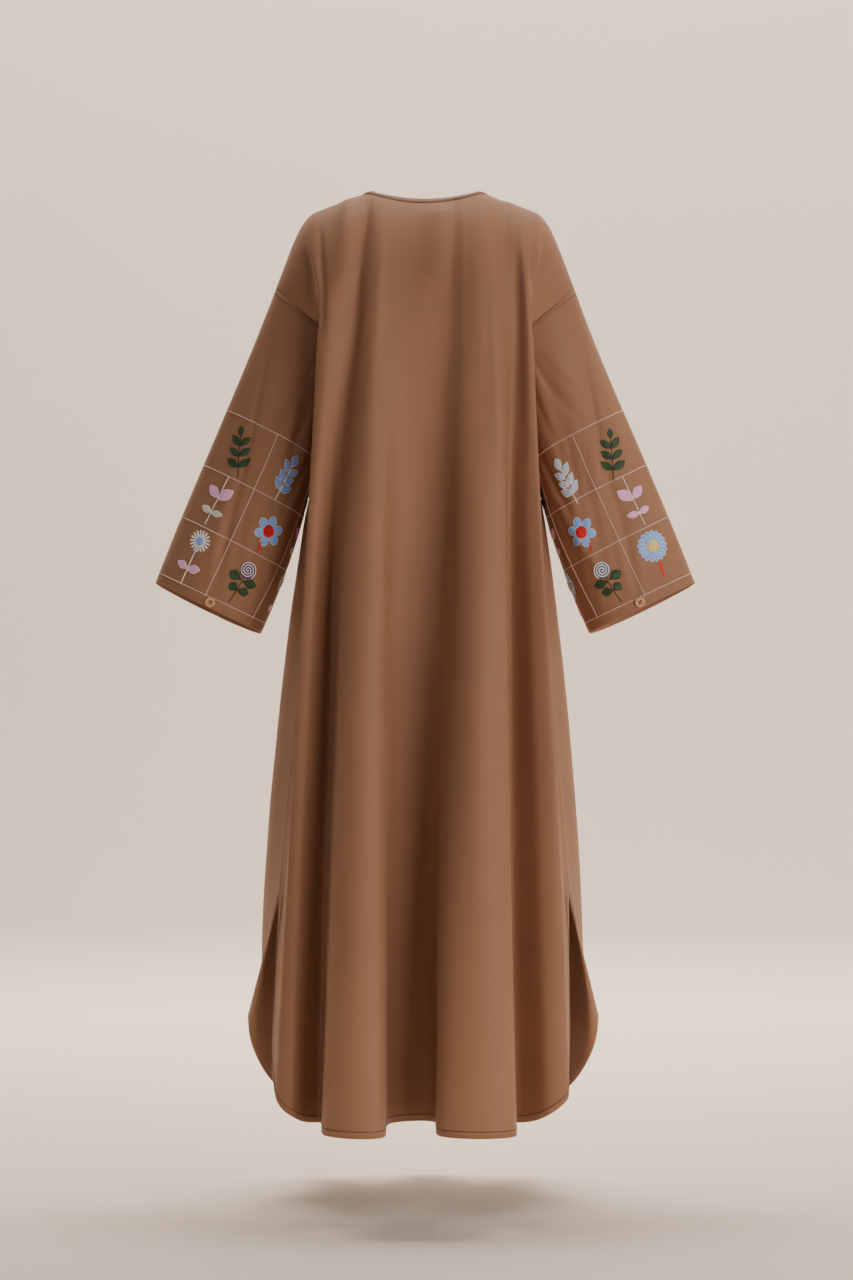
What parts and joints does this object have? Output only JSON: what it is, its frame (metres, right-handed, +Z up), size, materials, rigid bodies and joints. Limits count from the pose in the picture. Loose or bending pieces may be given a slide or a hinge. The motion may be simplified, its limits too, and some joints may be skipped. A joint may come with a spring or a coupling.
{
  "type": "mukhawar dress",
  "caption": "Long A-line dress with round bound neck, dropped shoulders, wide straight embroidered sleeves with buttoned cuff bands, and side slits with rounded hem corners.",
  "frame": {"origin": "centre of the neck opening, 20 mm below the high shoulder points, where the wearer's shoulders carry the dress", "axes": "+Z up along the dress, +Y the way the wearer faces, +X the wearer's right"},
  "size_m": [0.8, 0.4636, 1.3643],
  "materials": {
    "cloth": "matt twill",
    "binding": "matt bias strip",
    "button": "polished"
  },
  "bodies": {
    "root": {"back": "cloth", "front": "cloth", "sleeve_left": "cloth", "sleeve_right": "cloth", "neck_binding": "binding", "button_left": "button", "button_right": "button"}
  },
  "joints": []
}
